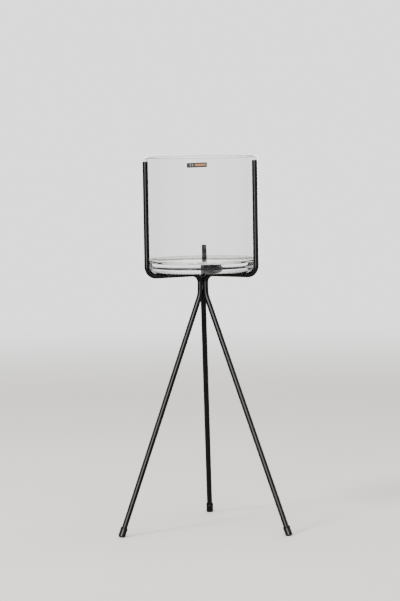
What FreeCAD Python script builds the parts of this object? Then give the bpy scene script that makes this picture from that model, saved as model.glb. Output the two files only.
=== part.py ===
import FreeCAD, Part
import math
import os
from FreeCAD import Vector, Placement, Rotation

# Champagne bucket stand: three bent round bars welded together at a short neck,
# three push-on feet, a thick-based glass bucket that stands in the cradle.
# Frame: origin on the floor on the stand's axis, +Z up, +Y to the rear leg.

os.makedirs("parts", exist_ok=True)
doc = FreeCAD.newDocument("champagne_bucket_stand")

# ---------------------------------------------------------------- dimensions
sheet = doc.addObject("Spreadsheet::Sheet", "dims")
SIZES = [
    ("rod_dia", 10.0),          # round bar of the stand
    ("neck_offset", 5.8),       # bar axis to stand axis at the neck
    ("arm_axis_z", 475.5),      # axis height of the level cradle arms
    ("upright_reach", 114.7),   # bar axis to stand axis at the uprights
    ("upright_top", 685.0),     # flat-cut upper end of the two front bars
    ("stop_top", 522.0),        # upper end of the short rear stop
    ("cradle_bend", 18.0),      # arm to upright, on the bar axis
    ("neck_bend", 16.0),        # neck to arm, on the bar axis
    ("neck_low_z", 447.0),      # lower end of the straight neck
    ("leg_bend", 49.0),         # neck to leg, on the bar axis
    ("leg_splay", 21.4),        # leg to vertical, degrees
    ("tip_chamfer", 0.8),
    ("bar_end_gap", 4.0),       # bar end to the outside of the foot's sole
    ("foot_dia", 13.6),
    ("foot_len", 18.6),
    ("foot_round", 2.4),
    ("foot_lip", 0.6),
    ("sole_axis_z", -0.15),     # height of the sole's centre before the floor flat
    ("weld_dia", 8.0),
    ("weld_axis", 4.9),
    ("weld_low_z", 445.5),
    ("weld_len", 16.0),
    ("glass_low_z", 480.8),
    ("glass_rad", 104.7),
    ("glass_high", 210.4),
    ("glass_wall", 5.0),
    ("glass_base", 16.5),
    ("glass_heel", 8.2),
    ("glass_floor_round", 7.0),
    ("rim_round", 2.2),
    ("punt_rad", 62.0),         # shallow hollow under the base
    ("punt_deep", 1.2),
    ("label_wide", 37.0),
    ("label_high", 8.8),
    ("label_thick", 0.25),
    ("label_mid_z", 678.3),
    ("label_turn", -2.0),       # label centre from the front centre, degrees
    ("label_tilt", 1.6),        # stuck on slightly crooked, degrees
]
for row, (alias, value) in enumerate(SIZES, start=1):
    sheet.set("A%d" % row, alias)
    sheet.set("B%d" % row, str(value))
    sheet.setAlias("B%d" % row, alias)
doc.recompute()


def val(alias):
    return float(getattr(sheet, alias))


def plane(body, role):
    for feature in body.Origin.OriginFeatures:
        if feature.Role == role:
            return feature
    raise ValueError(role)


def sketch_on(body, name, role):
    sk = body.newObject("Sketcher::SketchObject", name)
    sk.AttachmentSupport = [(plane(body, role), "")]
    sk.MapMode = "FlatFace"
    return sk


def turned(base, angle):
    return Placement(base, Rotation(Vector(0, 0, 1), angle))


import Sketcher

NODES = []


# ---------------------------------------------------------------- bent bars
# Each bar lies in one upright plane: upright, level arm, neck, splayed leg.
def leg_points():
    alpha = math.radians(val("leg_splay"))
    d = Vector(math.sin(alpha), 0, -math.cos(alpha))
    knee_z = val("neck_low_z")
    rb = val("leg_bend")
    end_bend = Vector(val("neck_offset") + rb * (1 - math.cos(alpha)), 0,
                      knee_z - rb * math.sin(alpha))
    run = (end_bend.z - val("sole_axis_z")) / math.cos(alpha)
    sole = end_bend + d * run
    return alpha, d, end_bend, run, sole


ALPHA, LEG_DIR, LEG_START, LEG_RUN, SOLE = leg_points()


def bar(name, angle, top_alias):
    body = doc.addObject("PartDesign::Body", name)
    body.Label = name
    path = sketch_on(body, name + "_path", "XZ_Plane")
    off, arm = val("neck_offset"), val("arm_axis_z")
    reach, top = val("upright_reach"), val(top_alias)
    cb, nb, lb = val("cradle_bend"), val("neck_bend"), val("leg_bend")
    low = val("neck_low_z")
    end = SOLE - LEG_DIR * val("bar_end_gap")

    def line(x0, y0, x1, y1):
        return path.addGeometry(Part.LineSegment(Vector(x0, y0, 0), Vector(x1, y1, 0)), False)

    def arc(cx, cy, r, a0, a1):
        circle = Part.Circle(Vector(cx, cy, 0), Vector(0, 0, 1), r)
        return path.addGeometry(Part.ArcOfCircle(circle, a0, a1), False)

    upright = line(reach, top, reach, arm + cb)
    corner = arc(reach - cb, arm + cb, cb, -math.pi / 2, 0)
    level = line(reach - cb, arm, off + nb, arm)
    crook = arc(off + nb, arm - nb, nb, math.pi / 2, math.pi)
    neck = line(off, arm - nb, off, low)
    knee = arc(off + lb, low, lb, math.pi, math.pi + ALPHA)
    leg = line(LEG_START.x, LEG_START.z, end.x, end.z)

    con = path.addConstraint
    C = Sketcher.Constraint
    # the curves run on into each other, tangent at every join
    joins = [(upright, 2, corner, 2), (corner, 1, level, 1), (level, 2, crook, 1),
             (crook, 2, neck, 1), (neck, 2, knee, 1), (knee, 2, leg, 1)]
    for a, pa, b, pb in joins:
        con(C("Tangent", a, pa, b, pb))
    con(C("Vertical", upright))
    con(C("Horizontal", level))
    con(C("Vertical", neck))

    def driven(kind, args, value, expression):
        index = con(C(kind, *(args + (value,))))
        path.setExpression("Constraints[%d]" % index, expression)

    driven("Radius", (corner,), cb, "dims.cradle_bend")
    driven("Radius", (crook,), nb, "dims.neck_bend")
    driven("Radius", (knee,), lb, "dims.leg_bend")
    driven("DistanceX", (-1, 1, upright, 1), reach, "dims.upright_reach")
    driven("DistanceY", (-1, 1, upright, 1), top, "dims.%s" % top_alias)
    driven("DistanceY", (-1, 1, level, 1), arm, "dims.arm_axis_z")
    driven("DistanceX", (-1, 1, neck, 1), off, "dims.neck_offset")
    driven("DistanceY", (-1, 1, neck, 2), low, "dims.neck_low_z")
    driven("DistanceX", (-1, 1, leg, 2), end.x,
           "dims.neck_offset + dims.leg_bend * (1 - cos(dims.leg_splay * 1 deg))"
           " + (dims.neck_low_z - dims.leg_bend * sin(dims.leg_splay * 1 deg) - dims.sole_axis_z)"
           " * tan(dims.leg_splay * 1 deg) - dims.bar_end_gap * sin(dims.leg_splay * 1 deg)")
    driven("DistanceY", (-1, 1, leg, 2), end.z,
           "dims.sole_axis_z + dims.bar_end_gap * cos(dims.leg_splay * 1 deg)")

    # round section at the upright's flat-cut end
    section = sketch_on(body, name + "_section", "XY_Plane")
    section.AttachmentOffset = Placement(Vector(reach, 0, top), Rotation())
    section.setExpression("AttachmentOffset.Base.x", "dims.upright_reach")
    section.setExpression("AttachmentOffset.Base.z", "dims.%s" % top_alias)
    ring = section.addGeometry(Part.Circle(Vector(0, 0, 0), Vector(0, 0, 1), val("rod_dia") / 2), False)
    section.addConstraint(C("Coincident", ring, 3, -1, 1))
    index = section.addConstraint(C("Diameter", ring, val("rod_dia")))
    section.setExpression("Constraints[%d]" % index, "dims.rod_dia")
    doc.recompute()

    pipe = body.newObject("PartDesign::AdditivePipe", name + "_sweep")
    pipe.Profile = section
    pipe.Spine = (path, [])
    pipe.Mode = "Standard"
    pipe.Transition = "Transformed"
    doc.recompute()

    # small chamfer around the cut end
    edge_name = None
    for i, edge in enumerate(pipe.Shape.Edges, start=1):
        heights = [p.z for p in edge.discretize(5)]
        if min(heights) > top - 0.05 and edge.Length > 2.5 * val("rod_dia"):
            edge_name = "Edge%d" % i
    assert edge_name, [(e.Length, e.BoundBox.ZMin, e.BoundBox.ZMax) for e in pipe.Shape.Edges]
    cham = body.newObject("PartDesign::Chamfer", name + "_end")
    cham.Base = (pipe, [edge_name])
    cham.Size = val("tip_chamfer")
    cham.setExpression("Size", "dims.tip_chamfer")
    body.Tip = cham
    body.Placement = turned(Vector(0, 0, 0), angle)
    NODES.append(body)
    return body


FRONT_RIGHT, REAR, FRONT_LEFT = -30.0, 90.0, 210.0
rods = [
    bar("front_left_rod", FRONT_LEFT, "upright_top"),
    bar("front_right_rod", FRONT_RIGHT, "upright_top"),
    bar("rear_rod", REAR, "stop_top"),
]


# ---------------------------------------------------------------- foot caps
# A turned cup pushed over the bar end. Its sole is square to the leg, and the
# edge that carries the load is worn flat on the floor.
def foot(name, angle):
    body = doc.addObject("PartDesign::Body", name)
    body.Label = name
    sk = sketch_on(body, name + "_profile", "XZ_Plane")
    rin, rout = val("rod_dia") / 2, val("foot_dia") / 2
    gap, length = val("bar_end_gap"), val("foot_len")
    rnd, lip = val("foot_round"), val("foot_lip")
    pts = [(0, 0), (rout - rnd, 0), (rout, rnd), (rout, length - lip), (rout - lip, length),
           (rin, length), (rin, gap), (0, gap)]
    ids = []
    for i, (x, y) in enumerate(pts):
        x1, y1 = pts[(i + 1) % len(pts)]
        if i == 1:
            circle = Part.Circle(Vector(rout - rnd, rnd, 0), Vector(0, 0, 1), rnd)
            ids.append(sk.addGeometry(Part.ArcOfCircle(circle, -math.pi / 2, 0), False))
        else:
            ids.append(sk.addGeometry(Part.LineSegment(Vector(x, y, 0), Vector(x1, y1, 0)), False))
    C = Sketcher.Constraint
    for i in range(len(ids)):
        kind = "Tangent" if i in (0, 1) else "Coincident"
        sk.addConstraint(C(kind, ids[i], 2, ids[(i + 1) % len(ids)], 1))
    sole, edge_arc, wall, rim_cut, top, bore, step, axis = ids
    for i in (sole, top, step):
        sk.addConstraint(C("Horizontal", i))
    for i in (wall, bore):
        sk.addConstraint(C("Vertical", i))
    sk.addConstraint(C("PointOnObject", step, 2, -2))
    sk.addConstraint(C("Coincident", sole, 1, -1, 1))

    def driven(kind, args, value, expression):
        index = sk.addConstraint(C(kind, *(args + (value,))))
        sk.setExpression("Constraints[%d]" % index, expression)

    driven("Radius", (edge_arc,), rnd, "dims.foot_round")
    driven("DistanceX", (-1, 1, wall, 1), rout, "dims.foot_dia / 2")
    driven("DistanceY", (-1, 1, top, 1), length, "dims.foot_len")
    driven("DistanceX", (-1, 1, bore, 1), rin, "dims.rod_dia / 2")
    driven("DistanceY", (-1, 1, bore, 2), gap, "dims.bar_end_gap")
    driven("DistanceX", (-1, 1, top, 1), rout - lip, "dims.foot_dia / 2 - dims.foot_lip")
    driven("DistanceY", (-1, 1, wall, 2), length - lip, "dims.foot_len - dims.foot_lip")
    rev = body.newObject("PartDesign::Revolution", name + "_cup")
    rev.Profile = sk
    rev.ReferenceAxis = (sk, ["V_Axis"])
    rev.Angle = 360.0
    doc.recompute()

    # floor flat: cut away what would lie below the floor. In the cup's own
    # frame the floor is a line that slopes by the leg's splay.
    cut = sketch_on(body, name + "_floor", "XZ_Plane")
    h = val("sole_axis_z")
    # cup frame: local z is up the leg, local x points outward along the sole
    # world z = h + x sin(alpha) + z cos(alpha)
    sa, ca = math.sin(ALPHA), math.cos(ALPHA)

    def on_floor(x):
        return (-h - x * sa) / ca
    xa, xb = -30.0, 30.0
    corners = [(xa, on_floor(xa)), (xb, on_floor(xb)), (xb, -40.0), (xa, -40.0)]
    line_ids = []
    for i in range(4):
        x0, y0 = corners[i]
        x1, y1 = corners[(i + 1) % 4]
        line_ids.append(cut.addGeometry(Part.LineSegment(Vector(x0, y0, 0), Vector(x1, y1, 0)), False))
    for i in range(4):
        cut.addConstraint(C("Coincident", line_ids[i], 2, line_ids[(i + 1) % 4], 1))
    pocket = body.newObject("PartDesign::Pocket", name + "_flat")
    pocket.Profile = cut
    pocket.Midplane = True
    pocket.Length = 60.0
    body.Tip = pocket
    doc.recompute()

    # the cup's axis follows the leg: tilt about local Y, then turn to the bar's plane
    tilt = Rotation(Vector(0, 1, 0), -math.degrees(ALPHA))
    turn = Rotation(Vector(0, 0, 1), angle)
    at = turn.multVec(SOLE)
    body.Placement = Placement(at, turn.multiply(tilt))
    before, after = rev.Shape.Volume, pocket.Shape.Volume
    print(name, "cup mm3 %.1f, after floor flat %.1f" % (before, after))
    assert 20 < before - after < 160
    NODES.append(body)
    return body


feet = [
    foot("front_left_foot", FRONT_LEFT),
    foot("front_right_foot", FRONT_RIGHT),
    foot("rear_foot", REAR),
]


# ---------------------------------------------------------------- weld beads
# One bead lies in each valley between two touching bars at the neck.
def weld(name, angle):
    bead = doc.addObject("Part::Cylinder", name + "_bead")
    bead.setExpression("Radius", "dims.weld_dia / 2")
    bead.setExpression("Height", "dims.weld_len")
    a = math.radians(angle)
    bead.Placement = Placement(
        Vector(val("weld_axis") * math.cos(a), val("weld_axis") * math.sin(a), val("weld_low_z")),
        Rotation())
    doc.recompute()
    soft = doc.addObject("Part::Fillet", name + "_ends")
    soft.Base = bead
    edges = []
    for i, edge in enumerate(bead.Shape.Edges, start=1):
        if edge.BoundBox.ZLength < 0.01:
            edges.append((i, 2.4, 2.4))
    soft.Edges = edges
    tools = []
    for k, rod_angle in enumerate((FRONT_RIGHT, REAR, FRONT_LEFT)):
        tool = doc.addObject("Part::Cylinder", "%s_bar%d" % (name, k))
        tool.setExpression("Radius", "dims.rod_dia / 2")
        tool.Height = 60
        b = math.radians(rod_angle)
        tool.Placement = Placement(
            Vector(val("neck_offset") * math.cos(b), val("neck_offset") * math.sin(b),
                   val("weld_low_z") - 20), Rotation())
        tools.append(tool)
    stock = doc.addObject("Part::MultiFuse", name + "_bars")
    stock.Shapes = tools
    cut = doc.addObject("Part::Cut", name + "_cut")
    cut.Base = soft
    cut.Tool = stock
    doc.recompute()
    # the outermost lump is the bead; slivers left between the bars are dropped
    solids = sorted(cut.Shape.Solids, key=lambda s: s.Volume, reverse=True)
    print(name, "solids", [round(s.Volume, 2) for s in solids])
    node = doc.addObject("Part::Feature", name)
    node.Label = name
    node.Shape = solids[0]
    NODES.append(node)
    return node


welds = [weld("front_weld", 270.0), weld("left_weld", 150.0), weld("right_weld", 30.0)]


# ---------------------------------------------------------------- glass bucket
def bucket():
    body = doc.addObject("PartDesign::Body", "glass_bucket")
    body.Label = "glass_bucket"
    sk = sketch_on(body, "glass_profile", "XZ_Plane")
    R, H, W = val("glass_rad"), val("glass_high"), val("glass_wall")
    base, heel, fr = val("glass_base"), val("glass_heel"), val("glass_floor_round")
    rr, pr, pd = val("rim_round"), val("punt_rad"), val("punt_deep")
    ri = R - W
    C = Sketcher.Constraint
    g = []

    def line(a, b):
        g.append(sk.addGeometry(Part.LineSegment(Vector(a[0], a[1], 0), Vector(b[0], b[1], 0)), False))
        return g[-1]

    def arc(cx, cy, r, a0, a1):
        c = Part.Circle(Vector(cx, cy, 0), Vector(0, 0, 1), r)
        g.append(sk.addGeometry(Part.ArcOfCircle(c, a0, a1), False))
        return g[-1]

    under = line((0, pd), (pr - 6, pd))
    slope = line((pr - 6, pd), (pr, 0))
    ring = line((pr, 0), (R - heel, 0))
    heel_arc = arc(R - heel, heel, heel, -math.pi / 2, 0)
    wall = line((R, heel), (R, H - rr))
    rim_out = arc(R - rr, H - rr, rr, 0, math.pi / 2)
    rim = line((R - rr, H), (ri + rr, H))
    rim_in = arc(ri + rr, H - rr, rr, math.pi / 2, math.pi)
    inner = line((ri, H - rr), (ri, base + fr))
    floor_arc = arc(ri - fr, base + fr, fr, -math.pi / 2, 0)
    floor = line((ri - fr, base), (0, base))
    axis = line((0, base), (0, pd))
    con = sk.addConstraint
    joins = [(under, 2, slope, 1), (slope, 2, ring, 1), (ring, 2, heel_arc, 1),
             (heel_arc, 2, wall, 1), (wall, 2, rim_out, 1), (rim_out, 2, rim, 1),
             (rim, 2, rim_in, 1), (rim_in, 2, inner, 1), (inner, 2, floor_arc, 2),
             (floor_arc, 1, floor, 1), (floor, 2, axis, 1), (axis, 2, under, 1)]
    arcs = (heel_arc, rim_out, rim_in, floor_arc)
    for a, pa, b, pb in joins:
        smooth = a in arcs or b in arcs
        con(C("Tangent" if smooth else "Coincident", a, pa, b, pb))
    for i in (under, ring, rim, floor):
        con(C("Horizontal", i))
    for i in (wall, inner, axis):
        con(C("Vertical", i))

    def driven(kind, args, value, expression):
        index = con(C(kind, *(args + (value,))))
        sk.setExpression("Constraints[%d]" % index, expression)

    driven("Radius", (heel_arc,), heel, "dims.glass_heel")
    driven("Radius", (rim_out,), rr, "dims.rim_round")
    driven("Radius", (rim_in,), rr, "dims.rim_round")
    driven("Radius", (floor_arc,), fr, "dims.glass_floor_round")
    driven("DistanceX", (-1, 1, wall, 1), R, "dims.glass_rad")
    driven("DistanceX", (-1, 1, inner, 1), ri, "dims.glass_rad - dims.glass_wall")
    driven("DistanceY", (-1, 1, rim, 1), H, "dims.glass_high")
    driven("DistanceY", (-1, 1, floor, 2), base, "dims.glass_base")
    driven("DistanceY", (-1, 1, under, 2), pd, "dims.punt_deep")
    driven("DistanceX", (-1, 1, slope, 1), pr - 6, "dims.punt_rad - 6")
    driven("DistanceX", (-1, 1, slope, 2), pr, "dims.punt_rad")
    con(C("PointOnObject", ring, 1, -1))
    con(C("PointOnObject", axis, 2, -2))
    rev = body.newObject("PartDesign::Revolution", "glass_turned")
    rev.Profile = sk
    rev.ReferenceAxis = (sk, ["V_Axis"])
    rev.Angle = 360.0
    doc.recompute()
    body.Placement = Placement(Vector(0, 0, val("glass_low_z")), Rotation())
    body.setExpression("Placement.Base.z", "dims.glass_low_z")
    NODES.append(body)
    return body


glass = bucket()


# ---------------------------------------------------------------- rim label
# A small printed label stuck on the outside of the glass under the rim.
def label():
    band = val("label_high") + 8.0
    low = val("label_mid_z") - band / 2
    outer = doc.addObject("Part::Cylinder", "label_outer")
    outer.setExpression("Radius", "dims.glass_rad + dims.label_thick")
    outer.Height = band
    outer.Placement = Placement(Vector(0, 0, low), Rotation())
    inner = doc.addObject("Part::Cylinder", "label_inner")
    inner.setExpression("Radius", "dims.glass_rad")
    inner.Height = band
    inner.Placement = Placement(Vector(0, 0, low), Rotation())
    skin = doc.addObject("Part::Cut", "label_skin")
    skin.Base = outer
    skin.Tool = inner
    # the straight width across the curve of the glass
    chord = 2 * val("glass_rad") * math.sin(val("label_wide") / val("glass_rad") / 2)
    blank = doc.addObject("Part::Box", "label_blank")
    blank.Length = chord
    blank.Width = 40
    blank.setExpression("Height", "dims.label_high")
    # across, out and up, turned to the front and tilted about the outward line
    turn = Rotation(Vector(0, 0, 1), val("label_turn"))
    tilt = Rotation(Vector(0, 1, 0), -val("label_tilt"))
    face = turn.multVec(Vector(0, -val("glass_rad"), 0)) + Vector(0, 0, val("label_mid_z"))
    spin = turn * tilt
    blank.Placement = Placement(
        face + spin.multVec(Vector(-chord / 2, -20, -val("label_high") / 2)), spin)
    cut = doc.addObject("Part::Common", "rim_label")
    cut.Label = "rim_label"
    cut.Base = skin
    cut.Tool = blank
    doc.recompute()
    NODES.append(cut)
    return cut


sticker = label()
doc.recompute()

# ---------------------------------------------------------------- checks
def stop_if_failed():
    bad = [(o.Name, o.getStatusString()) for o in doc.Objects
           if "Invalid" in o.State or "Error" in o.State]
    if bad:
        raise RuntimeError("failed features: %s" % bad)


stop_if_failed()


def placed(node):
    return node.Shape


for node in NODES:
    shape = placed(node)
    if shape.isNull() or not shape.isValid():
        raise RuntimeError("bad shape: " + node.Label)
    if len(shape.Solids) != 1:
        raise RuntimeError("%s has %d solids" % (node.Label, len(shape.Solids)))

for i, a in enumerate(NODES):
    for b in NODES[i + 1:]:
        if a.Shape.BoundBox.intersect(b.Shape.BoundBox):
            common = a.Shape.common(b.Shape)
            if common.Volume > 0.001:
                print("overlap", a.Label, b.Label, "%.4f mm3" % common.Volume)

print("glass to bars %.2f mm" % min(glass.Shape.distToShape(r.Shape)[0] for r in rods))
for node in NODES:
    box = node.Shape.optimalBoundingBox(True, False)
    print("%-18s %9.1f mm3  x %.1f..%.1f  y %.1f..%.1f  z %.2f..%.2f" % (
        node.Label, node.Shape.Volume, box.XMin, box.XMax, box.YMin, box.YMax, box.ZMin, box.ZMax))
    node.Shape.exportStep("parts/%s.step" % node.Label)
print("nodes", len(NODES))
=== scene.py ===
import bpy
import bmesh
import math
from mathutils import Vector, Matrix, noise


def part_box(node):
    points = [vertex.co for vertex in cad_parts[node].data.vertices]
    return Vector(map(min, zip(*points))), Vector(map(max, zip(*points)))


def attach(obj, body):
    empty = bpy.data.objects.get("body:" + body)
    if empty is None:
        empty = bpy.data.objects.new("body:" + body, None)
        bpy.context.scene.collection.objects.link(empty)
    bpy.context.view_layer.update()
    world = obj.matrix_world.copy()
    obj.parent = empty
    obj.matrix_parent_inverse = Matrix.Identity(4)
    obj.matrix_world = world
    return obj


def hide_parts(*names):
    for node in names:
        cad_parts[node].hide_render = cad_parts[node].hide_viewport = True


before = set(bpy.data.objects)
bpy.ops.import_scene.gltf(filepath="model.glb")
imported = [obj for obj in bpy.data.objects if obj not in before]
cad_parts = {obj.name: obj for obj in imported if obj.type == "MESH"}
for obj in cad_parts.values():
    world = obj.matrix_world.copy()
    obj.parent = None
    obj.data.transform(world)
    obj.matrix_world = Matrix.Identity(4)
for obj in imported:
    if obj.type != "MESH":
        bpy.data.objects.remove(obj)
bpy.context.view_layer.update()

TAU = math.tau
scene = bpy.context.scene


# ------------------------------------------------------------------ helpers
def mesh_object(name, verts, faces, smooth=True):
    me = bpy.data.meshes.new(name)
    me.from_pydata([tuple(v) for v in verts], [], faces)
    me.validate()
    me.update()
    ob = bpy.data.objects.new(name, me)
    scene.collection.objects.link(ob)
    if smooth:
        for p in me.polygons:
            p.use_smooth = True
    return ob


def fix_normals(ob):
    bm = bmesh.new()
    bm.from_mesh(ob.data)
    bmesh.ops.recalc_face_normals(bm, faces=bm.faces)
    bm.to_mesh(ob.data)
    bm.free()


def sharp_by_angle(ob, degrees):
    """Splits shading along edges sharper than the angle."""
    me = ob.data
    bm = bmesh.new()
    bm.from_mesh(me)
    limit = math.radians(degrees)
    for e in bm.edges:
        if len(e.link_faces) == 2 and e.calc_face_angle(0.0) > limit:
            e.smooth = False
    bm.to_mesh(me)
    bm.free()


class Nodes:
    """Small helper for building a material's node tree."""

    def __init__(self, name):
        self.mat = bpy.data.materials.new(name)
        self.mat.use_nodes = True
        self.nt = self.mat.node_tree
        self.nt.nodes.clear()
        self.out = self.nt.nodes.new("ShaderNodeOutputMaterial")

    def node(self, kind, **settings):
        n = self.nt.nodes.new(kind)
        for k, v in settings.items():
            if k.startswith("in_"):
                continue
            setattr(n, k, v)
        return n

    def link(self, a, b):
        self.nt.links.new(a, b)

    def bsdf(self, **values):
        n = self.node("ShaderNodeBsdfPrincipled")
        for k, v in values.items():
            n.inputs[k.replace("_", " ")].default_value = v
        self.link(n.outputs[0], self.out.inputs["Surface"])
        return n

    def coords(self, kind="Object"):
        return self.node("ShaderNodeTexCoord").outputs[kind]

    def noise(self, vec, scale, detail=2.0, rough=0.5, scale_vec=None):
        if scale_vec is not None:
            m = self.node("ShaderNodeMapping")
            m.inputs["Scale"].default_value = scale_vec
            self.link(vec, m.inputs["Vector"])
            vec = m.outputs[0]
        n = self.node("ShaderNodeTexNoise")
        n.inputs["Scale"].default_value = scale
        n.inputs["Detail"].default_value = detail
        n.inputs["Roughness"].default_value = rough
        self.link(vec, n.inputs["Vector"])
        return n.outputs["Fac"]

    def ramp(self, fac, stops):
        r = self.node("ShaderNodeValToRGB")
        els = r.color_ramp.elements
        while len(els) < len(stops):
            els.new(0.5)
        for e, (pos, col) in zip(els, stops):
            e.position = pos
            e.color = (col, col, col, 1) if isinstance(col, float) else (*col, 1)
        self.link(fac, r.inputs[0])
        return r.outputs[0]

    def span(self, fac, a, b, lo, hi, clamp=True):
        m = self.node("ShaderNodeMapRange")
        m.clamp = clamp
        for i, v in enumerate((a, b, lo, hi), start=1):
            m.inputs[i].default_value = v
        self.link(fac, m.inputs[0])
        return m.outputs[0]

    def math(self, op, a, b=None):
        m = self.node("ShaderNodeMath", operation=op)
        for i, v in enumerate((a, b)):
            if v is None:
                continue
            if isinstance(v, (int, float)):
                m.inputs[i].default_value = v
            else:
                self.link(v, m.inputs[i])
        return m.outputs[0]

    def mix(self, fac, a, b):
        m = self.node("ShaderNodeMix", data_type="RGBA")
        if isinstance(fac, (int, float)):
            m.inputs[0].default_value = fac
        else:
            self.link(fac, m.inputs[0])
        for i, v in ((6, a), (7, b)):
            if isinstance(v, tuple):
                m.inputs[i].default_value = (*v, 1)
            else:
                self.link(v, m.inputs[i])
        return m.outputs[2]

    def xyz(self, vec):
        s = self.node("ShaderNodeSeparateXYZ")
        self.link(vec, s.inputs[0])
        return s.outputs

    def bump(self, height, strength, distance, normal=None):
        b = self.node("ShaderNodeBump")
        b.inputs["Strength"].default_value = strength
        b.inputs["Distance"].default_value = distance
        self.link(height, b.inputs["Height"])
        if normal is not None:
            self.link(normal, b.inputs["Normal"])
        return b.outputs[0]


# ------------------------------------------------------------------ materials
def powder_coat(name, weld=False):
    m = Nodes(name)
    co = m.coords()
    b = m.bsdf(Roughness=0.32, Metallic=0.0)
    b.inputs["Specular IOR Level"].default_value = 0.40
    cloud = m.noise(co, 38.0, 3.0)
    fleck = m.noise(co, 900.0, 2.0)
    z = m.xyz(co)[2]
    base = m.mix(m.span(cloud, 0.35, 0.68, 0.0, 1.0), (0.0017, 0.0017, 0.0019), (0.0034, 0.0033, 0.0035))
    # fine metallic-grey speckle of the powder
    base = m.mix(m.span(fleck, 0.62, 0.74, 0.0, 0.25), base, (0.015, 0.015, 0.016))
    # a little pale dust lies on what faces up
    geo = m.node("ShaderNodeNewGeometry")
    up = m.xyz(geo.outputs["Normal"])[2]
    dust_mask = m.math("MULTIPLY", m.span(up, 0.35, 1.0, 0.0, 0.5), m.span(m.noise(co, 160.0, 4.0, 0.65), 0.45, 0.8, 0.0, 1.0))
    base = m.mix(dust_mask, base, (0.050, 0.049, 0.047))
    # rubbed bright at the cut tips
    tip = m.math("MULTIPLY", m.span(z, 0.6828, 0.6850, 0.0, 1.0), m.span(m.noise(co, 420.0, 4.0, 0.7), 0.42, 0.62, 0.0, 0.55))
    base = m.mix(tip, base, (0.055, 0.053, 0.052))
    # worn at the lower legs, in small scattered scuffs along the bar
    low = m.span(z, 0.02, 0.16, 0.30, 0.04)
    scuff = m.math("MULTIPLY", low, m.span(m.noise(co, 260.0, 5.0, 0.75, (1.0, 1.0, 0.22)), 0.60, 0.72, 0.0, 1.0))
    base = m.mix(scuff, base, (0.036, 0.035, 0.034))
    m.link(base, b.inputs["Base Color"])
    rough = m.span(m.noise(co, 70.0, 4.0, 0.6), 0.3, 0.7, 0.17, 0.26)
    rough = m.math("ADD", rough, m.math("MULTIPLY", scuff, 0.5))
    rough = m.math("ADD", rough, m.math("MULTIPLY", dust_mask, 0.35))
    m.link(rough, b.inputs["Roughness"])
    # orange peel, then fine grain
    peel = m.bump(m.noise(co, 560.0, 1.5), 0.34, 0.00014)
    grain = m.bump(m.noise(co, 2600.0, 2.0), 0.16, 0.00005, peel)
    if weld:
        grain = m.bump(m.noise(co, 700.0, 3.0, 0.6), 0.35, 0.0002, grain)
    m.link(grain, b.inputs["Normal"])
    return m.mat


def rubber():
    m = Nodes("foot_rubber_look")
    co = m.coords()
    b = m.bsdf(Roughness=0.42)
    b.inputs["Specular IOR Level"].default_value = 0.5
    z = m.xyz(co)[2]
    cloud = m.noise(co, 120.0, 4.0, 0.6)
    base = m.mix(m.span(cloud, 0.35, 0.7, 0.0, 1.0), (0.0020, 0.0020, 0.0022), (0.0042, 0.0042, 0.0045))
    # grey floor dust on the lowest few millimetres, broken up
    dust = m.math("MULTIPLY", m.span(z, 0.0002, 0.0028, 0.34, 0.0), m.span(m.noise(co, 520.0, 4.0, 0.7), 0.34, 0.68, 0.15, 1.0))
    base = m.mix(dust, base, (0.060, 0.057, 0.053))
    m.link(base, b.inputs["Base Color"])
    rough = m.math("ADD", m.span(cloud, 0.3, 0.7, 0.19, 0.27), m.math("MULTIPLY", dust, 0.4))
    m.link(rough, b.inputs["Roughness"])
    n = m.bump(m.noise(co, 1400.0, 3.0, 0.6), 0.18, 0.00008)
    m.link(n, b.inputs["Normal"])
    return m.mat


def clear_glass():
    m = Nodes("clear_glass_look")
    co = m.coords()
    b = m.bsdf(Roughness=0.0, IOR=1.52)
    b.inputs["Base Color"].default_value = (0.985, 0.995, 0.992, 1)
    b.inputs["Transmission Weight"].default_value = 1.0
    b.inputs["Specular IOR Level"].default_value = 0.5
    # slow ripple left by forming, drawn out up the wall
    wave = m.noise(co, 26.0, 1.0, 0.4, (1.0, 1.0, 0.25))
    soft = m.bump(wave, 0.07, 0.0010)
    # a few faint wiping lines round the wall
    wipe = m.span(m.noise(co, 60.0, 3.0, 0.55, (0.35, 0.35, 3.0)), 0.40, 0.75, 0.0, 1.0)
    m.link(m.bump(wipe, 0.02, 0.0003, soft), b.inputs["Normal"])
    vol = m.node("ShaderNodeVolumeAbsorption")
    vol.inputs["Color"].default_value = (0.80, 0.93, 0.90, 1)
    vol.inputs["Density"].default_value = 0.9
    m.link(vol.outputs[0], m.out.inputs["Volume"])
    return m.mat


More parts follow.
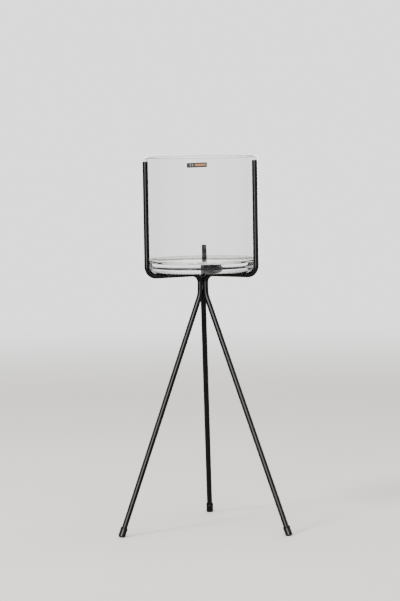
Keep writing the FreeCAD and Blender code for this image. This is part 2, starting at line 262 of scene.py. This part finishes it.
def label_film():
    """Blank film: dark all over, one plain copper bar and two plain pale chips, no lettering."""
    m = Nodes("label_film_look")
    uv = m.node("ShaderNodeUVMap", uv_map="face").outputs[0]
    u, v, _ = m.xyz(uv)
    b = m.bsdf(Roughness=0.5)
    b.inputs["Specular IOR Level"].default_value = 0.22
    dark = (0.012, 0.010, 0.011)
    copper = (0.30, 0.150, 0.078)
    chip = (0.26, 0.255, 0.27)
    edge = (0.08, 0.077, 0.077)

    def inside(x, lo, hi, soft=0.006):
        a = m.span(x, lo - soft, lo + soft, 0.0, 1.0)
        c = m.span(x, hi - soft, hi + soft, 1.0, 0.0)
        return m.math("MULTIPLY", a, c)

    printed = m.math("MULTIPLY", inside(u, 0.012, 0.988), inside(v, 0.035, 0.965, 0.012))
    bar = m.math("MULTIPLY", inside(u, 0.40, 0.950), inside(v, 0.30, 0.74, 0.03))
    chips = m.math("MAXIMUM", inside(u, 0.155, 0.205), inside(u, 0.265, 0.315))
    chips = m.math("MULTIPLY", chips, inside(v, 0.30, 0.70, 0.03))
    col = m.mix(printed, edge, dark)
    # copper ink, laid unevenly
    ink = m.span(m.noise(m.coords(), 420.0, 3.0, 0.6), 0.30, 0.70, 0.72, 1.0)
    col = m.mix(m.math("MULTIPLY", bar, ink), col, copper)
    col = m.mix(m.math("MULTIPLY", chips, 0.8), col, chip)
    fibre = m.noise(m.coords(), 1500.0, 2.0)
    col = m.mix(m.span(fibre, 0.3, 0.7, 0.0, 0.05), col, (0.20, 0.17, 0.16))
    m.link(col, b.inputs["Base Color"])
    m.link(m.span(m.noise(m.coords(), 300.0, 3.0), 0.3, 0.7, 0.42, 0.58), b.inputs["Roughness"])
    m.link(m.bump(fibre, 0.12, 0.00004), b.inputs["Normal"])
    return m.mat


COAT = powder_coat("black_coat_look")
WELD = powder_coat("weld_coat_look", weld=True)
RUBBER = rubber()
GLASS = clear_glass()
FILM = label_film()

# ------------------------------------------------------------------ sizes (metres, from the frame)
rod_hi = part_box("front_left_rod")[1]
rear_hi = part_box("rear_rod")[1]
glass_lo, glass_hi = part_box("glass_bucket")
R_ROD = 0.005
NECK = 0.0058
ARM_Z = 0.4755
REACH = 0.1147
CRADLE = 0.018
CROOK = 0.016
NECK_LOW = 0.447
KNEE = 0.049
SPLAY = math.radians(21.4)
SOLE_Z = -0.00015
END_GAP = 0.004


def leg_geometry():
    start = Vector((NECK + KNEE * (1 - math.cos(SPLAY)), NECK_LOW - KNEE * math.sin(SPLAY)))
    d = Vector((math.sin(SPLAY), -math.cos(SPLAY)))
    run = (start.y - SOLE_Z) / math.cos(SPLAY)
    sole = start + d * run
    return start, d, sole


LEG_START, LEG_D, SOLE = leg_geometry()


def bar_path(top):
    """Points, tangents and arc lengths down the bar, in its own upright plane."""
    pts = []

    def straight(a, b, step):
        n = max(1, int(round((b - a).length / step)))
        for i in range(n):
            t = i / n
            pts.append((a.lerp(b, t), (b - a).normalized()))

    def turn(c, r, a0, a1, n):
        for i in range(n):
            a = a0 + (a1 - a0) * i / n
            s = 1 if a1 > a0 else -1
            pts.append((c + Vector((math.cos(a), math.sin(a))) * r,
                        Vector((-math.sin(a), math.cos(a))) * s))

    p0 = Vector((REACH, top))
    p1 = Vector((REACH, ARM_Z + CRADLE))
    straight(p0, p1, 0.012)
    turn(Vector((REACH - CRADLE, ARM_Z + CRADLE)), CRADLE, 0.0, -math.pi / 2, 22)
    p2 = Vector((REACH - CRADLE, ARM_Z))
    p3 = Vector((NECK + CROOK, ARM_Z))
    straight(p2, p3, 0.010)
    turn(Vector((NECK + CROOK, ARM_Z - CROOK)), CROOK, math.pi / 2, math.pi, 22)
    p4 = Vector((NECK, ARM_Z - CROOK))
    p5 = Vector((NECK, NECK_LOW))
    straight(p4, p5, 0.004)
    turn(Vector((NECK + KNEE, NECK_LOW)), KNEE, math.pi, math.pi + SPLAY, 16)
    end = SOLE - LEG_D * END_GAP
    straight(LEG_START, end, 0.012)
    pts.append((end, LEG_D))
    return pts


def make_bar(name, node, angle, top, seed):
    SEG = 56
    path = bar_path(top)
    rot = Matrix.Rotation(math.radians(angle), 3, "Z")
    verts, faces = [], []
    ch = 0.0008

    def ring(p2, t2, r, shift=0.0):
        t = Vector((t2.x, 0, t2.y))
        n = Vector((-t2.y, 0, t2.x))
        b = Vector((0, 1, 0))
        c = Vector((p2.x, 0, p2.y)) + t * shift
        base = len(verts)
        for k in range(SEG):
            a = TAU * k / SEG
            verts.append(rot @ (c + n * (r * math.cos(a)) + b * (r * math.sin(a))))
        return base

    rings = []
    p_top, t_top = path[0]
    # sawn, slightly dished end face, then a rounded chamfer
    verts.append(rot @ Vector((p_top.x, 0, p_top.y - 0.00012)))
    centre = 0
    rings.append(ring(p_top, t_top, R_ROD * 0.45, 0.00008))
    rings.append(ring(p_top, t_top, R_ROD - ch * 1.15, 0.0))
    for i in range(1, 6):
        a = math.radians(90 * i / 5)
        rings.append(ring(p_top, t_top, R_ROD - ch + ch * math.sin(a), ch * (1 - math.cos(a))))
    for p2, t2 in path[1:]:
        rings.append(ring(p2, t2, R_ROD))
    for k in range(SEG):
        faces.append((centre, rings[0] + (k + 1) % SEG, rings[0] + k))
    for a, b in zip(rings, rings[1:]):
        for k in range(SEG):
            faces.append((a + k, a + (k + 1) % SEG, b + (k + 1) % SEG, b + k))
    end = len(verts)
    pe, te = path[-1]
    verts.append(rot @ Vector((pe.x, 0, pe.y)))
    for k in range(SEG):
        faces.append((end, rings[-1] + k, rings[-1] + (k + 1) % SEG))
    ob = mesh_object(name, verts, faces)
    fix_normals(ob)
    sharp_by_angle(ob, 50)
    ob.data.materials.append(COAT)
    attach(ob, "stand")
    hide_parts(node)
    return ob


BARS = {
    "front_left": (210.0, rod_hi[2]),
    "front_right": (-30.0, rod_hi[2]),
    "rear": (90.0, rear_hi[2]),
}
for i, (key, (angle, top)) in enumerate(BARS.items()):
    make_bar(key + "_bar", key + "_rod", angle, top, i)


# ------------------------------------------------------------------ foot caps
def make_foot(key, angle):
    """Moulded cap: level pad, round edges, slim body, rolled lip round the bar."""
    SEG = 72
    R = 0.0068
    L = 0.0186
    rot = Matrix.Rotation(math.radians(angle), 3, "Z") @ Matrix.Rotation(-SPLAY, 3, "Y")
    turn = Matrix.Rotation(math.radians(angle), 3, "Z")
    at = turn @ Vector((SOLE.x, 0, SOLE.y))
    prof = [(0.0, 0.0), (0.0012, 0.0), (0.0024, 0.0), (0.0034, 0.0)]
    rr = 0.0024
    body = R - 0.00022
    for i in range(0, 13):
        a = -math.pi / 2 + math.pi / 2 * i / 12
        prof.append((body - rr + rr * math.cos(a), rr + rr * math.sin(a)))
    # straight body, then a slightly proud rolled lip at the mouth
    z_lip = L - 0.0026
    for i in range(1, 14):
        prof.append((body - 0.00006 * math.sin(math.pi * i / 14), rr + (z_lip - rr) * i / 14))
    prof += [(body, z_lip), (body + 0.00010, z_lip + 0.00018), (R, z_lip + 0.00045)]
    lip = 0.0011
    for i in range(0, 10):
        a = math.pi / 2 * i / 9
        prof.append((R - lip + lip * math.cos(a), L - lip + lip * math.sin(a)))
    prof += [(R_ROD + 0.0004, L - 0.00001), (R_ROD + 0.00012, L - 0.00012),
             (R_ROD + 0.00002, L - 0.0005), (R_ROD + 0.00002, L - 0.004)]
    verts, faces = [], []
    rings = []
    for j, (r, z) in enumerate(prof):
        if r < 1e-6:
            rings.append(None)
            verts.append((0, 0, z))
            continue
        base = len(verts)
        for k in range(SEG):
            a = TAU * k / SEG
            verts.append((r * math.cos(a), r * math.sin(a), z))
        rings.append(base)
    for a, b in zip(rings, rings[1:]):
        for k in range(SEG):
            k1 = (k + 1) % SEG
            if a is None:
                faces.append((0, b + k1, b + k))
            else:
                faces.append((a + k, a + k1, b + k1, b + k))
    # the pad is level with the floor
    out = []
    for v in verts:
        w = at + rot @ Vector(v)
        if w.z < 0.0:
            w.z = 0.0
        out.append(w)
    ob = mesh_object(key + "_cap", out, faces)
    fix_normals(ob)
    sharp_by_angle(ob, 55)
    ob.data.materials.append(RUBBER)
    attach(ob, "stand")
    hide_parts(key + "_foot")
    return ob


for key, (angle, top) in BARS.items():
    make_foot(key, angle)


# ------------------------------------------------------------------ weld beads
def make_weld(key, angle):
    """A rippled bead down the valley between two bars, ending in a proud button at its top."""
    lo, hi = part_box(key + "_weld")
    a = math.radians(angle)
    cx, cy = 0.0049 * math.cos(a), 0.0049 * math.sin(a)
    SEG, N = 64, 150
    z0, z1 = lo[2] + 0.00002, hi[2] - 0.00002
    top = z1 - 0.0029
    verts, faces = [], []
    for j in range(N + 1):
        # closer rings towards the two rounded ends
        t = 0.5 - 0.5 * math.cos(math.pi * j / N)
        z = z0 + (z1 - z0) * t
        low = min(1.0, (z - z0) / 0.0030)
        high = min(1.0, (z1 - z) / 0.0027)
        cap = math.sqrt(max(0.0, 1 - (1 - low) ** 2)) * math.sqrt(max(0.0, 1 - (1 - high) ** 2))
        button = math.exp(-(((z - top) / 0.0024) ** 2))
        phase = (z - z0) / 0.00155 + 0.35 * math.sin(900.0 * z + angle)
        ripple = 0.00013 * (abs(math.sin(math.pi * phase)) - 0.64) * (1 - 0.75 * button)
        wob = 0.00007 * math.sin(700.0 * z + angle)
        r = (0.0028 + 0.0010 * button + ripple + wob * (1 - button)) * max(cap, 0.02)
        for k in range(SEG):
            b = TAU * k / SEG
            # ripples sag downward in the middle, like stacked coins
            zz = z - 0.00050 * max(0.0, math.cos(b - a)) * cap * (1 - 0.6 * button) * (1 if 0 < j < N else 0)
            zz = min(max(zz, z0), z1)
            verts.append((cx + r * math.cos(b), cy + r * math.sin(b), zz))
    for j in range(N):
        for k in range(SEG):
            k1 = (k + 1) % SEG
            faces.append((j * SEG + k, j * SEG + k1, (j + 1) * SEG + k1, (j + 1) * SEG + k))
    faces.append(tuple(range(SEG - 1, -1, -1)))
    faces.append(tuple(N * SEG + k for k in range(SEG)))
    ob = mesh_object(key + "_bead", verts, faces)
    fix_normals(ob)
    ob.data.materials.append(WELD)
    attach(ob, "stand")
    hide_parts(key + "_weld")
    return ob


for key, angle in (("front", 270.0), ("left", 150.0), ("right", 30.0)):
    make_weld(key, angle)


# ------------------------------------------------------------------ glass bucket
def make_glass():
    SEG = 320
    z0, z1 = glass_lo[2], glass_hi[2]
    R = 0.1047
    W = 0.005
    ri = R - W
    base = 0.0165
    heel, fr, rr = 0.0082, 0.007, 0.0022
    H = z1 - z0
    prof = []          # (r, z above the underside, waviness weight)
    prof.append((0.0, 0.0012, 0))
    for r in (0.012, 0.028, 0.044, 0.053):
        prof.append((r, 0.0012, 0))
    for i in range(0, 9):
        t = i / 8
        s = t * t * (3 - 2 * t)
        prof.append((0.056 + 0.006 * t, 0.0012 * (1 - s), 0))
    for r in (0.070, 0.080, 0.089):
        prof.append((r, 0.0, 0))
    for i in range(0, 21):
        a = -math.pi / 2 + math.pi / 2 * i / 20
        prof.append((R - heel + heel * math.cos(a), heel + heel * math.sin(a), 0))
    n = 40
    for i in range(1, n):
        t = i / n
        prof.append((R, heel + (H - rr - heel) * t, 0))
    for i in range(0, 15):
        a = math.pi / 2 * i / 14
        prof.append((R - rr + rr * math.cos(a), H - rr + rr * math.sin(a), 0))
    for i in range(0, 15):
        a = math.pi / 2 + math.pi / 2 * i / 14
        prof.append((ri + rr + rr * math.cos(a), H - rr + rr * math.sin(a), 0.2 * i / 14))
    for i in range(1, n):
        t = i / n
        z = H - rr - (H - rr - base - fr) * t
        prof.append((ri, z, 1.0))
    for i in range(0, 17):
        a = -math.pi / 2 * i / 16
        prof.append((ri - fr + fr * math.cos(a), base + fr + fr * math.sin(a), 0.5 * (1 - i / 16)))
    for r in (0.084, 0.070, 0.052, 0.034, 0.016):
        # the floor rises very slightly towards its middle
        prof.append((r, base - 0.00015 * (r / 0.0927) ** 2 + 0.0, 0))
    prof.append((0.0, base, 0))
    verts, faces, rings = [], [], []
    for r, z, w in prof:
        if r < 1e-9:
            rings.append(len(verts))
            verts.append((0, 0, z0 + z))
            continue
        b0 = len(verts)
        for k in range(SEG):
            a = TAU * k / SEG
            dr = 0.0
            if w > 0:
                # slow thickness variation round and up the wall, outward only
                dr = w * 0.00022 * (0.5 + 0.5 * math.sin(3 * a + 0.7 + 5.0 * z)) \
                    + w * 0.00010 * (0.5 + 0.5 * math.sin(7 * a + 1.9 - 9.0 * z)) \
                    + w * 0.00005 * (0.5 + 0.5 * math.sin(17 * a + 0.4 + 21.0 * z))
            verts.append(((r + dr) * math.cos(a), (r + dr) * math.sin(a), z0 + z))
        rings.append(b0)
    last = len(rings) - 1
    for i in range(last):
        a, b = rings[i], rings[i + 1]
        for k in range(SEG):
            k1 = (k + 1) % SEG
            if i == 0:
                faces.append((a, b + k1, b + k))
            elif i == last - 1:
                faces.append((b, a + k, a + k1))
            else:
                faces.append((a + k, a + k1, b + k1, b + k))
    ob = mesh_object("glass_vessel", verts, faces)
    fix_normals(ob)
    ob.data.materials.append(GLASS)
    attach(ob, "bucket")
    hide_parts("glass_bucket")
    return ob


make_glass()


# ------------------------------------------------------------------ rim label
def make_label():
    lo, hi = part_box("rim_label")
    r_in, r_out = 0.1047 + 0.00001, 0.1047 + 0.00024
    wide, high = 0.0368, 0.0087
    mid_a = -math.pi / 2 + math.radians(-2.0)
    mid_z = (lo[2] + hi[2]) / 2
    ct, st = math.cos(math.radians(1.6)), math.sin(math.radians(1.6))
    NU, NV = 60, 14
    verts, faces, uvs = [], [], []
    rc = 0.0011          # rounded corners

    def place(u, v, r):
        """u, v in 0..1 with the corners pulled in to a round."""
        w, h = wide, high
        x, y = (u - 0.5) * w, (v - 0.5) * h
        ex, ey = abs(x) - (w / 2 - rc), abs(y) - (h / 2 - rc)
        if ex > 0 and ey > 0:
            d = max(ex, ey)
            l = math.hypot(ex, ey)
            k = d / l
            x = math.copysign(w / 2 - rc + ex * k, x)
            y = math.copysign(h / 2 - rc + ey * k, y)
        # stuck on slightly crooked
        x, y = x * ct - y * st, x * st + y * ct
        a = mid_a + x / 0.1047
        return (r * math.cos(a), r * math.sin(a), mid_z + y)

    def grid_u(i):
        return 0.5 - 0.5 * math.cos(math.pi * i / NU)

    def grid_v(j):
        return 0.5 - 0.5 * math.cos(math.pi * j / NV)

    for r in (r_out, r_in):
        for j in range(NV + 1):
            for i in range(NU + 1):
                u, v = grid_u(i), grid_v(j)
                # the film's edge is a touch thinner than its middle
                edge = min(u * wide, (1 - u) * wide, v * high, (1 - v) * high)
                rr = r
                if r == r_out:
                    rr = r_in + (r_out - r_in) * min(1.0, 0.55 + edge / 0.0006)
                verts.append(place(u, v, rr))
                uvs.append((u, v))
    stride = NU + 1
    off = stride * (NV + 1)
    for j in range(NV):
        for i in range(NU):
            a = j * stride + i
            faces.append((a, a + 1, a + 1 + stride, a + stride))
            faces.append((off + a, off + a + stride, off + a + 1 + stride, off + a + 1))
    loop = [i for i in range(NU + 1)] \
        + [j * stride + NU for j in range(1, NV + 1)] \
        + [NV * stride + i for i in range(NU - 1, -1, -1)] \
        + [j * stride for j in range(NV - 1, 0, -1)]
    for a, b in zip(loop, loop[1:] + loop[:1]):
        faces.append((a, off + a, off + b, b))
    ob = mesh_object("rim_label_film", verts, faces)
    layer = ob.data.uv_layers.new(name="face")
    for l in ob.data.loops:
        layer.data[l.index].uv = uvs[l.vertex_index]
    fix_normals(ob)
    sharp_by_angle(ob, 50)
    ob.data.materials.append(FILM)
    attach(ob, "bucket")
    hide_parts("rim_label")
    return ob


make_label()


# ------------------------------------------------------------------ floor
PALE = (0.90, 0.895, 0.885)


def make_stage():
    m = Nodes("floor_look")
    co = m.coords()
    b = m.bsdf(Roughness=0.7)
    b.inputs["Specular IOR Level"].default_value = 0.2
    c = m.mix(m.span(m.noise(co, 1.6, 5.0, 0.6), 0.3, 0.7, 0.0, 1.0), (0.655, 0.638, 0.612), (0.690, 0.672, 0.646))
    m.link(c, b.inputs["Base Color"])
    m.link(m.bump(m.noise(co, 160.0, 3.0), 0.04, 0.0004), b.inputs["Normal"])
    # the floor melts into the pale surroundings a few metres out
    x, y, _ = m.xyz(co)
    r = m.math("SQRT", m.math("ADD", m.math("MULTIPLY", x, x), m.math("MULTIPLY", y, y)))
    fade = m.node("ShaderNodeMapRange", interpolation_type="SMOOTHERSTEP")
    for i, v in enumerate((1.3, 4.6, 0.0, 1.0), start=1):
        fade.inputs[i].default_value = v
    m.link(r, fade.inputs[0])
    clear = m.node("ShaderNodeBsdfTransparent")
    # painted shade: in rough reflections the floor turns into a dark grey copy, like a floor seen past the edge of
    # a lit set
    dim = m.node("ShaderNodeBsdfDiffuse")
    dim.inputs[0].default_value = (0.12, 0.12, 0.12, 1)
    gloss = m.node("ShaderNodeMixShader")
    path = m.node("ShaderNodeLightPath").outputs
    rough = m.math("MULTIPLY", path["Is Glossy Ray"], m.math("SUBTRACT", 1.0, path["Is Singular Ray"]))
    through = m.math("MULTIPLY", m.math("GREATER_THAN", path["Glossy Depth"], 0.5), m.math("GREATER_THAN", path["Transmission Depth"], 3.5))
    m.link(m.math("MAXIMUM", rough, through), gloss.inputs[0])
    m.link(b.outputs[0], gloss.inputs[1])
    m.link(dim.outputs[0], gloss.inputs[2])
    # nothing shows of the floor from below, so the underside can be looked at
    back = m.node("ShaderNodeNewGeometry").outputs["Backfacing"]
    mixer = m.node("ShaderNodeMixShader")
    m.link(m.math("MAXIMUM", fade.outputs[0], back), mixer.inputs[0])
    m.link(gloss.outputs[0], mixer.inputs[1])
    m.link(clear.outputs[0], mixer.inputs[2])
    m.link(mixer.outputs[0], m.out.inputs["Surface"])
    rings = [0.0, 0.4, 0.9, 1.6, 2.6, 3.8, 4.8]
    seg = 48
    verts, faces = [(0, 0, 0)], []
    for r0 in rings[1:]:
        for k in range(seg):
            a = TAU * k / seg
            verts.append((r0 * math.cos(a), r0 * math.sin(a), 0.0))
    for k in range(seg):
        faces.append((0, 1 + k, 1 + (k + 1) % seg))
    for j in range(len(rings) - 2):
        for k in range(seg):
            a, c2 = 1 + j * seg, 1 + (j + 1) * seg
            k1 = (k + 1) % seg
            faces.append((a + k, c2 + k, c2 + k1, a + k1))
    ob = mesh_object("studio_floor", verts, faces)
    ob.data.materials.append(m.mat)


make_stage()


# ------------------------------------------------------------------ light
def area(name, at, to, sx, sy, power, colour=(1, 1, 1)):
    data = bpy.data.lights.new(name, "AREA")
    data.shape = "RECTANGLE"
    data.size, data.size_y = sx, sy
    data.energy = power
    data.color = colour
    ob = bpy.data.objects.new(name, data)
    ob.location = at
    d = Vector(to) - Vector(at)
    ob.rotation_euler = d.to_track_quat("-Z", "Y").to_euler()
    ob.visible_glossy = False
    ob.visible_transmission = False
    scene.collection.objects.link(ob)
    return ob


area("top", (0.0, 0.0, 3.4), (0, 0, 0), 3.2, 3.2, 175, (1.0, 0.995, 0.985))
area("key_left", (-2.0, -2.0, 3.0), (0, 0, 0.3), 0.7, 0.7, 125, (1.0, 0.985, 0.96))


def make_world():
    """Pale to the eye and through glass; in reflections, a dim room with soft lit panels."""
    world = bpy.data.worlds.new("studio")
    world.use_nodes = True
    nt = world.node_tree
    nt.nodes.clear()
    out = nt.nodes.new("ShaderNodeOutputWorld")

    def new(kind, **kw):
        n = nt.nodes.new(kind)
        for k, v in kw.items():
            setattr(n, k, v)
        return n

    direction = new("ShaderNodeTexCoord").outputs["Generated"]
    path = new("ShaderNodeLightPath")
    split = new("ShaderNodeSeparateXYZ")
    nt.links.new(direction, split.inputs[0])

    def sums(op, a, b):
        n = new("ShaderNodeMath", operation=op)
        for k, v in enumerate((a, b)):
            if isinstance(v, (int, float)):
                n.inputs[k].default_value = v
            else:
                nt.links.new(v, n.inputs[k])
        return n.outputs[0]

    def lobe(az, el, inner, outer, strength, tall):
        """A soft patch of light seen in that direction; tall stretches it up and down."""
        a, e = math.radians(az), math.radians(el)
        d = Vector((math.sin(a) * math.cos(e), -math.cos(a) * math.cos(e), math.sin(e)))
        squash = new("ShaderNodeVectorMath", operation="SUBTRACT")
        squash.inputs[1].default_value = (0, 0, d.z)
        nt.links.new(direction, squash.inputs[0])
        flat = new("ShaderNodeVectorMath", operation="MULTIPLY")
        flat.inputs[1].default_value = (1, 1, tall)
        nt.links.new(squash.outputs[0], flat.inputs[0])
        dist = new("ShaderNodeVectorMath", operation="DISTANCE")
        dist.inputs[1].default_value = (d.x, d.y, 0)
        nt.links.new(flat.outputs[0], dist.inputs[0])
        m = new("ShaderNodeMapRange", interpolation_type="SMOOTHERSTEP")
        for i, v in enumerate((2 * math.sin(math.radians(outer) / 2), 2 * math.sin(math.radians(inner) / 2), 0.0, strength), start=1):
            m.inputs[i].default_value = v
        nt.links.new(dist.outputs["Value"], m.inputs[0])
        return m.outputs[0]

    def panel(az, el, inner, outer, strength, colour, tall=0.45):
        bg = new("ShaderNodeBackground")
        bg.inputs[0].default_value = (*colour, 1)
        nt.links.new(sums("MULTIPLY", lobe(az, el, inner, outer, strength, tall), softer), bg.inputs[1])
        return bg.outputs[0]

    # mirror-sharp glass shows the panels fainter than the coat does, so it doesn't veil
    softer = sums("SUBTRACT", 1.0, sums("MULTIPLY", path.outputs["Is Singular Ray"], 0.88))
    room = new("ShaderNodeBackground")
    room.inputs[0].default_value = (0.80, 0.82, 0.86, 1)
    room.inputs[1].default_value = 0.03
    total = room.outputs[0]
    panels = [
        panel(-16, 8, 8, 25, 5.6, (1.0, 0.985, 0.96), 0.42),
        panel(-4, 32, 10, 30, 5.8, (1.0, 0.985, 0.96), 0.9),
        panel(64, 8, 5, 18, 1.2, (0.95, 0.975, 1.0), 0.40),
        panel(-110, 10, 6, 22, 1.6, (1.0, 0.99, 0.97), 0.40),
        panel(128, 14, 6, 24, 2.0, (0.97, 0.985, 1.0), 0.45),
        panel(180, 25, 8, 26, 1.8, (1.0, 1.0, 1.0), 0.6),
    ]
    for p in panels:
        add = new("ShaderNodeAddShader")
        nt.links.new(total, add.inputs[0])
        nt.links.new(p, add.inputs[1])
        total = add.outputs[0]
    # light turned round inside the glass comes from a pale wall behind it
    wall = lobe(180, 4, 40, 85, 1.2, 1.6)
    crisp = new("ShaderNodeBackground")
    crisp.inputs[0].default_value = (*PALE, 1)
    sky = lobe(180, 12, 10, 36, 1.2, 1.0)
    # a window behind the set glints off the rim
    outside = sums("LESS_THAN", path.outputs["Transmission Depth"], 0.5)
    once = sums("LESS_THAN", path.outputs["Glossy Depth"], 1.5)
    glint = sums("MULTIPLY", sums("MULTIPLY", lobe(180, 6, 6, 26, 3.2, 1.0), outside), once)
    # the coat picks up little of what the glass beside it mirrors, so its edges stay clean
    twice = sums("MULTIPLY", outside, sums("SUBTRACT", 1.0, once))
    kept = sums("SUBTRACT", 1.0, sums("MULTIPLY", twice, 0.85))
    back = sums("MULTIPLY", sums("ADD", wall, sky), kept)
    inner_light = sums("ADD", back, sums("ADD", glint, 0.12))
    nt.links.new(sums("MULTIPLY", inner_light, path.outputs["Is Singular Ray"]), crisp.inputs[1])
    add = new("ShaderNodeAddShader")
    nt.links.new(total, add.inputs[0])
    nt.links.new(crisp.outputs[0], add.inputs[1])
    total = add.outputs[0]
    # straight to the eye the surroundings are plain and pale; light bent up through
    # the glass comes from a dimmer ceiling
    pale = new("ShaderNodeBackground")
    pale.inputs[0].default_value = (*PALE, 1)
    high = new("ShaderNodeMapRange", interpolation_type="SMOOTHSTEP")
    for i, v in enumerate((0.12, 0.55, 1.0, 0.25), start=1):
        high.inputs[i].default_value = v
    nt.links.new(split.outputs[2], high.inputs[0])
    level = sums("MAXIMUM", high.outputs[0], path.outputs["Is Camera Ray"])
    nt.links.new(sums("MULTIPLY", level, 2.2), pale.inputs[1])
    bounced = sums("ADD", path.outputs["Glossy Depth"], path.outputs["Diffuse Depth"])
    straight = sums("LESS_THAN", bounced, 0.5)
    seen = new("ShaderNodeMath", operation="MAXIMUM")
    nt.links.new(path.outputs["Is Camera Ray"], seen.inputs[0])
    nt.links.new(sums("MULTIPLY", straight, path.outputs["Is Transmission Ray"]), seen.inputs[1])
    mixer = new("ShaderNodeMixShader")
    nt.links.new(seen.outputs[0], mixer.inputs[0])
    nt.links.new(total, mixer.inputs[1])
    nt.links.new(pale.outputs[0], mixer.inputs[2])
    nt.links.new(mixer.outputs[0], out.inputs["Surface"])
    scene.world = world


make_world()

# ------------------------------------------------------------------ camera
CAM = dict(f=2391.9, D=4.40695, h=0.79258, pitch=4.763, roll=-0.944, az=2.04, yaw=0.076)


def make_camera(f, D, h, pitch, roll, az, yaw):
    a, p, r = math.radians(az), math.radians(pitch), math.radians(roll)
    at = Vector((D * math.sin(a), -D * math.cos(a), h))
    b = a + math.radians(yaw)
    fwd = Vector((-math.sin(b) * math.cos(p), math.cos(b) * math.cos(p), -math.sin(p)))
    right = Vector((math.cos(b), math.sin(b), 0))
    up = right.cross(fwd)
    r2 = right * math.cos(r) + up * math.sin(r)
    u2 = -right * math.sin(r) + up * math.cos(r)
    data = bpy.data.cameras.new("camera")
    data.sensor_fit = "AUTO"
    data.sensor_width = 36.0
    data.lens = f / 601.0 * 36.0
    data.clip_end = 50
    ob = bpy.data.objects.new("camera", data)
    ob.matrix_world = Matrix((
        (r2.x, u2.x, -fwd.x, at.x),
        (r2.y, u2.y, -fwd.y, at.y),
        (r2.z, u2.z, -fwd.z, at.z),
        (0, 0, 0, 1)))
    scene.collection.objects.link(ob)
    scene.camera = ob
    bpy.context.scene.camera = ob


make_camera(**CAM)
